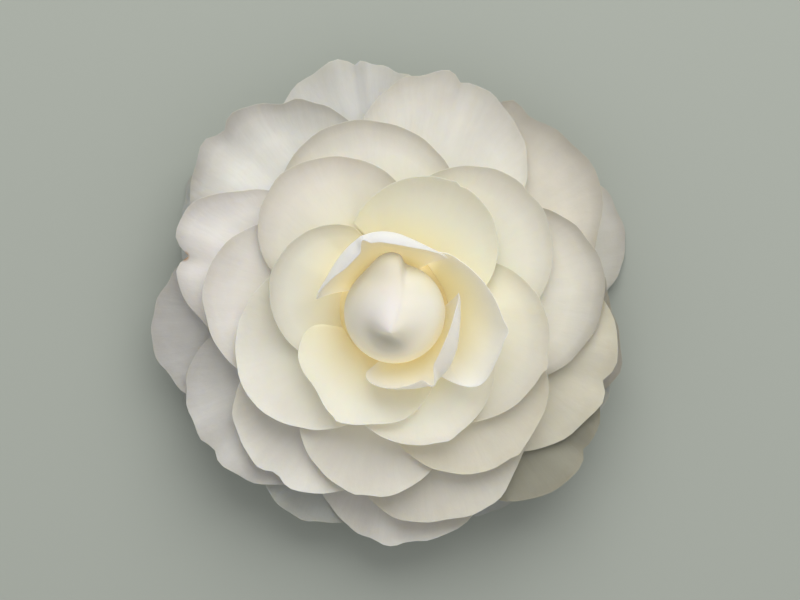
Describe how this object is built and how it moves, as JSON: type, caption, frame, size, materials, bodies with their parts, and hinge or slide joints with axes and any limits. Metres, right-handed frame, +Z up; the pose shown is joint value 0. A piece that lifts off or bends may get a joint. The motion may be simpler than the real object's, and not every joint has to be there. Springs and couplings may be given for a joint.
{
  "type": "camellia flower",
  "caption": "White formal double camellia bloom with overlapping rounded petals, a cream throat and a closed round heart bud, picked with hardly any stalk and lying face up.",
  "frame": {"origin": "under the middle of the outline, on the surface that the hindmost petal tips rest on", "axes": "+Z up out of the open flower, +X and +Y across it, to the right and up in the picture"},
  "size_m": [0.0973, 0.099, 0.039],
  "materials": {
    "petal": "soft satin white petal, cream towards the throat, finely veined",
    "heart": "smooth cream petals wrapped into a closed ball",
    "sepal": "dull green sepal with a thin brown rim",
    "stalk": "thin brown bark, paler at the cut"
  },
  "bodies": {
    "root": {"petals": "petal", "heart_bud": "heart", "calyx": "sepal", "stalk": "stalk"}
  },
  "joints": []
}
